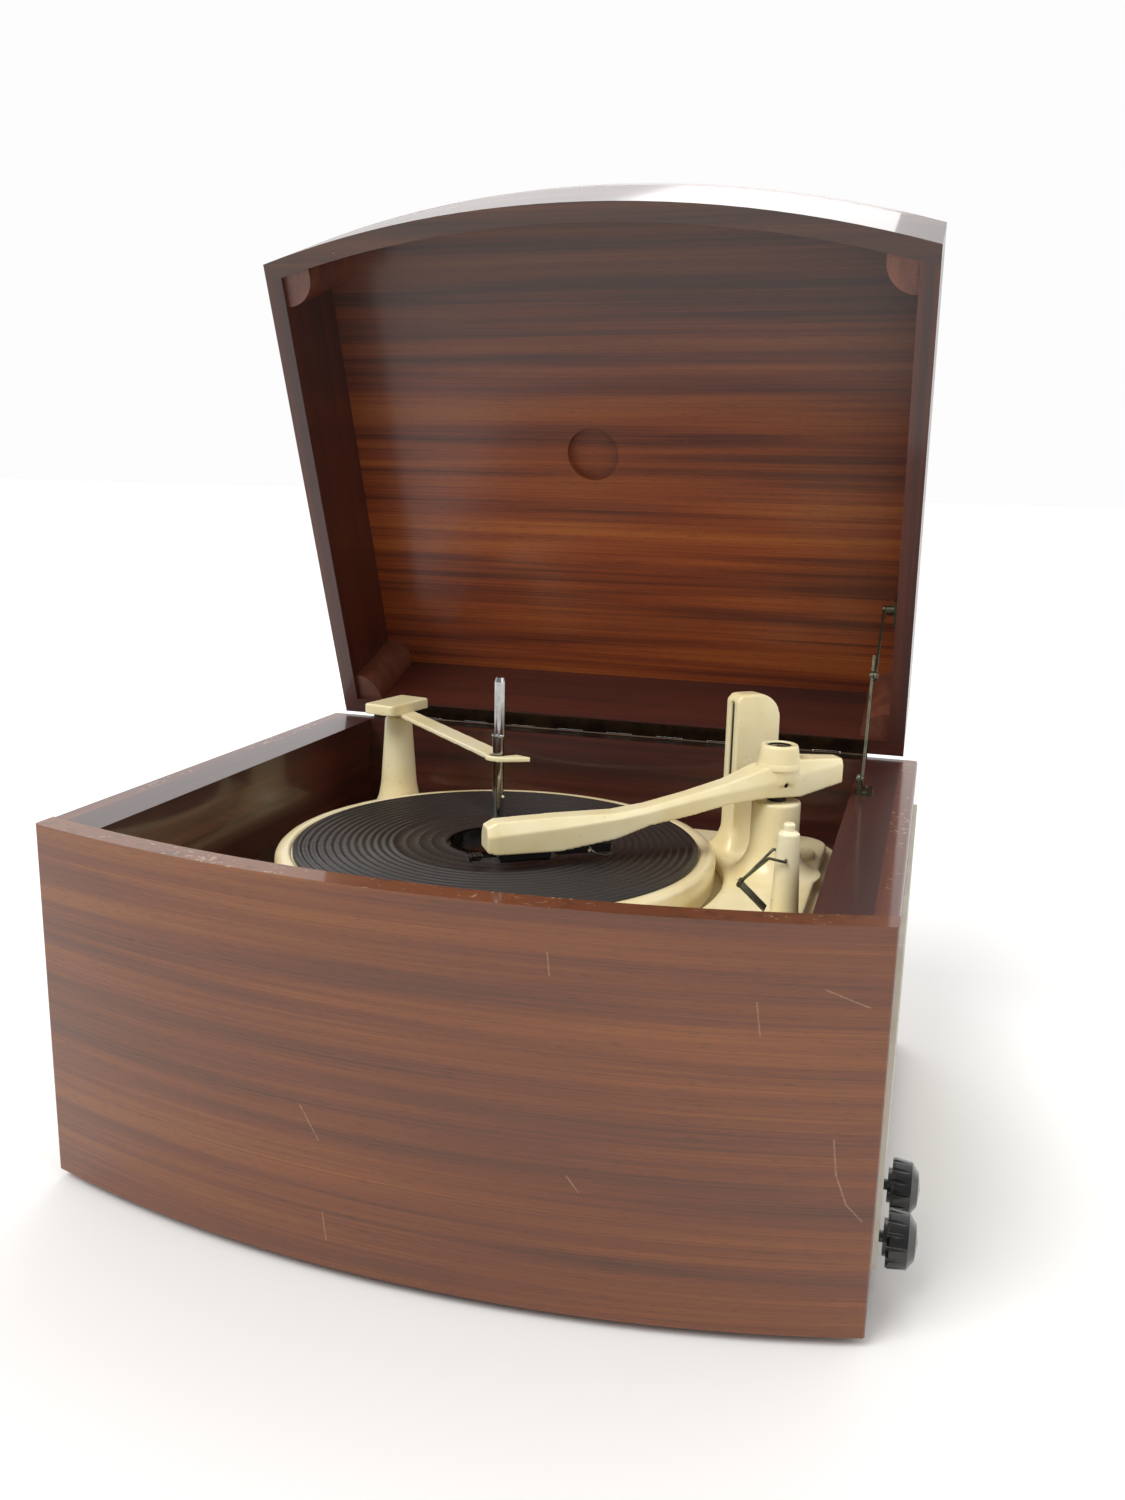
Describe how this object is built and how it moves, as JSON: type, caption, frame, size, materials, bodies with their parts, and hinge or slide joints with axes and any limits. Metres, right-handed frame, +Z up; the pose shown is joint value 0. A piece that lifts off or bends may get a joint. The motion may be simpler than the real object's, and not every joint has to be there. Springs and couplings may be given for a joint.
{
  "type": "record player",
  "caption": "Table record player with an automatic changer in a bow-fronted wooden cabinet under a hinged lid, with side speakers and turned controls.",
  "frame": {"origin": "under the middle of the overall box, on the ground the feet stand on, lid open", "axes": "+Z up, +Y from the bowed front towards the hinge at the back, +X towards the side with the knobs"},
  "size_m": [0.4946, 0.4759, 0.6107],
  "materials": {
    "mahogany": "gloss lacquer, darker reddish brown",
    "plywood": "plain, unpolished",
    "cream_enamel": "gloss enamel",
    "cream_plastic": "moulded, gloss",
    "pale_plastic": "moulded",
    "mat_rubber": "ribbed",
    "black_plastic": "gloss",
    "dull_nickel": "dull plated",
    "bright_chrome": "polished",
    "bronzed_steel": "dark bronzed",
    "grey_steel": "grey, satin",
    "zinc_steel": "plated",
    "valve_glass": "clear",
    "paper_cone": "dark felted",
    "black_rubber": "satin",
    "brass": "turned"
  },
  "bodies": {
    "cabinet": {"cabinet_front": "mahogany", "cabinet_sides": "mahogany", "rim_boards": "mahogany", "well_linings": "mahogany", "back_rail": "mahogany", "back_cover": "plywood", "back_screws": "brass", "base_board": "plywood", "motor_board": "mahogany", "board_cleats": "plywood", "grilles": "pale_plastic", "speaker_frames": "grey_steel", "speaker_cones": "paper_cone", "rubber_feet": "black_rubber", "mains_gland": "black_rubber", "hinge_cabinet_leaf": "bronzed_steel", "hinge_pin": "zinc_steel", "stay_cabinet_bracket": "dull_nickel", "amplifier_chassis": "zinc_steel", "transformers": "grey_steel", "valves": "valve_glass", "potentiometers": "zinc_steel", "unit_plate": "cream_enamel", "unit_springs": "zinc_steel", "spindle": "bright_chrome", "spindle_latch": "zinc_steel", "bearing": "zinc_steel", "arm_base": "cream_plastic", "fin_strip": "dull_nickel", "rest_post": "cream_plastic", "adjuster_cap": "cream_plastic", "steady_post": "cream_plastic", "motor": "grey_steel"},
    "lid": {"lid_top": "mahogany", "lid_front": "mahogany", "lid_sides": "mahogany", "lid_back": "mahogany", "lid_corner_blocks": "mahogany", "hinge_lid_leaf": "bronzed_steel", "stay_lid_bracket": "dull_nickel"},
    "lower_stay": {"stay_lower_link": "dull_nickel"},
    "upper_stay": {"stay_upper_link": "dull_nickel"},
    "turntable": {"platter": "cream_enamel", "platter_mat": "mat_rubber", "hub_cup": "black_plastic"},
    "idler": {"idler_wheel": "black_rubber"},
    "pulley": {"motor_pulley": "brass"},
    "arm_turret": {"arm_yoke": "zinc_steel"},
    "arm": {"pickup_arm": "cream_plastic", "boss_cap": "black_plastic", "cartridge_holder": "zinc_steel", "finger_lift": "bright_chrome"},
    "pickup": {"cartridge": "black_plastic", "styli": "zinc_steel"},
    "clip": {"arm_clip": "dull_nickel"},
    "speed": {"speed_knob": "cream_plastic"},
    "volume": {"volume_knob": "black_plastic"},
    "tone": {"tone_knob": "black_plastic"},
    "steady_rod": {"overarm_rod": "dull_nickel"},
    "steady": {"overarm": "cream_plastic"}
  },
  "joints": [
    {"name": "lid_hinge", "type": "hinge", "parent": "cabinet", "child": "lid", "pos_m": [-0.00975, 0.16045, 0.2202], "axis": [-1, 0, 0], "range_deg": [-71, 0]},
    {"name": "stay_lower_turn", "type": "hinge", "parent": "cabinet", "child": "lower_stay", "pos_m": [-0.00975, 0.04905, 0.228], "axis": [-1, 0, 0], "range_deg": [-105.04, 0]},
    {"name": "stay_upper_turn", "type": "hinge", "parent": "lid", "child": "upper_stay", "pos_m": [-0.00975, 0.13279, 0.33061], "axis": [-1, 0, 0], "range_deg": [0, 112.65]},
    {"name": "platter_spin", "type": "hinge", "parent": "cabinet", "child": "turntable", "pos_m": [-0.02775, -0.03995, 0.187], "axis": [0, 0, 1], "continuous": true},
    {"name": "idler_spin", "type": "hinge", "parent": "cabinet", "child": "idler", "pos_m": [-0.05108, 0.06979, 0.176], "axis": [0, 0, 1], "continuous": true},
    {"name": "pulley_spin", "type": "hinge", "parent": "cabinet", "child": "pulley", "pos_m": [-0.07537, 0.05341, 0.176], "axis": [0, 0, 1], "continuous": true},
    {"name": "arm_swing", "type": "hinge", "parent": "cabinet", "child": "arm_turret", "pos_m": [0.14225, 0.00805, 0.22], "axis": [0, 0, 1], "range_deg": [-4, 42]},
    {"name": "arm_lift", "type": "hinge", "parent": "arm_turret", "child": "arm", "pos_m": [0.14225, 0.00805, 0.232], "axis": [-0.5548, 0.832, 0], "range_deg": [0, 10]},
    {"name": "pickup_turnover", "type": "hinge", "parent": "arm", "child": "pickup", "pos_m": [0.0014, -0.08589, 0.1955], "axis": [0.832, 0.5548, 0], "range_deg": [0, 180]},
    {"name": "clip_swing", "type": "hinge", "parent": "cabinet", "child": "clip", "pos_m": [0.16225, -0.09795, 0.215], "axis": [0, 1, 0], "range_deg": [0, 80]},
    {"name": "speed_turn", "type": "hinge", "parent": "cabinet", "child": "speed", "pos_m": [0.14025, -0.16095, 0.164], "axis": [0, 0, 1], "range_deg": [0, 135]},
    {"name": "volume_turn", "type": "hinge", "parent": "cabinet", "child": "volume", "pos_m": [0.22525, -0.15695, 0.034], "axis": [1, 0, 0], "range_deg": [0, 300]},
    {"name": "tone_turn", "type": "hinge", "parent": "cabinet", "child": "tone", "pos_m": [0.22525, -0.10595, 0.034], "axis": [1, 0, 0], "range_deg": [0, 300]},
    {"name": "steady_lift", "type": "slide", "parent": "cabinet", "child": "steady_rod", "axis": [0, 0, 1], "range_m": [0, 0.045]},
    {"name": "steady_swing", "type": "hinge", "parent": "steady_rod", "child": "steady", "pos_m": [-0.14975, 0.07805, 0.2415], "axis": [0, 0, 1], "range_deg": [-50, 0]}
  ],
  "couplings": [
    {"joint": "stay_lower_turn", "follows": "lid_hinge", "ratio": 1.4795},
    {"joint": "stay_upper_turn", "follows": "lid_hinge", "ratio": -1.5866},
    {"joint": "idler_spin", "follows": "platter_spin", "ratio": 5.6875},
    {"joint": "pulley_spin", "follows": "platter_spin", "ratio": -27.3}
  ]
}
